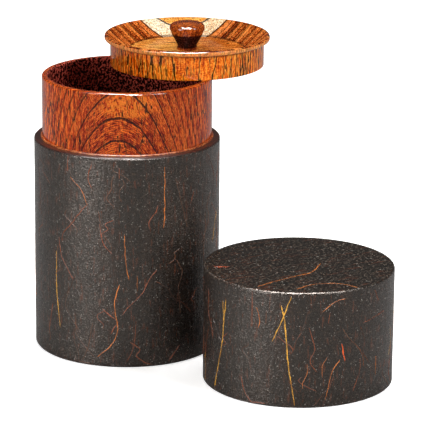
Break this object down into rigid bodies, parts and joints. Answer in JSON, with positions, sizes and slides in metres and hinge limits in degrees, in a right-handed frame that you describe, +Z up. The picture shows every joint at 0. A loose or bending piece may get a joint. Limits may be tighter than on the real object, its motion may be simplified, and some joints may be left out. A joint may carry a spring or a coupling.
{
  "type": "tea caddy",
  "caption": "Cylindrical wooden tea canister covered in dark lacquered paper, with a turned liner, a dished plug lid with a mushroom knob and a deep outer cap, laid out open.",
  "frame": {"origin": "centre of the canister's flat underside", "axes": "+Z up along the canister's axis, +X towards the side where the cap and the plug lid lie, -Y the front, where the cap stands"},
  "size_m": [0.1534, 0.1453, 0.1373],
  "materials": {
    "stained_wood": "dark stain, satin",
    "lacquered_paper": "dark lacquered mulberry paper with bark fibres, semi-gloss",
    "lacquered_wood": "red-orange wiped lacquer over figured wood, gloss",
    "lid_wood": "orange-yellow wiped lacquer over figured wood, gloss",
    "knob_wood": "dark red-orange lacquer, gloss"
  },
  "bodies": {
    "canister": {"canister_tube": "stained_wood", "base_plate": "stained_wood", "canister_paper": "lacquered_paper", "base_paper": "lacquered_paper", "liner": "lacquered_wood", "liner_floor": "lacquered_wood"},
    "inner_lid": {"plug_lid": "lid_wood", "knob": "knob_wood"},
    "outer_cap": {"cap_ring": "stained_wood", "cap_plate": "stained_wood", "cap_side_paper": "lacquered_paper", "cap_top_paper": "lacquered_paper"}
  },
  "joints": [
    {"name": "lid_lift", "type": "slide", "parent": "canister", "child": "inner_lid", "axis": [0, 0, 1], "range_m": [0, 0.05]},
    {"name": "cap_lift", "type": "slide", "parent": "canister", "child": "outer_cap", "axis": [0, 0, 1], "range_m": [0, 0.135]}
  ]
}
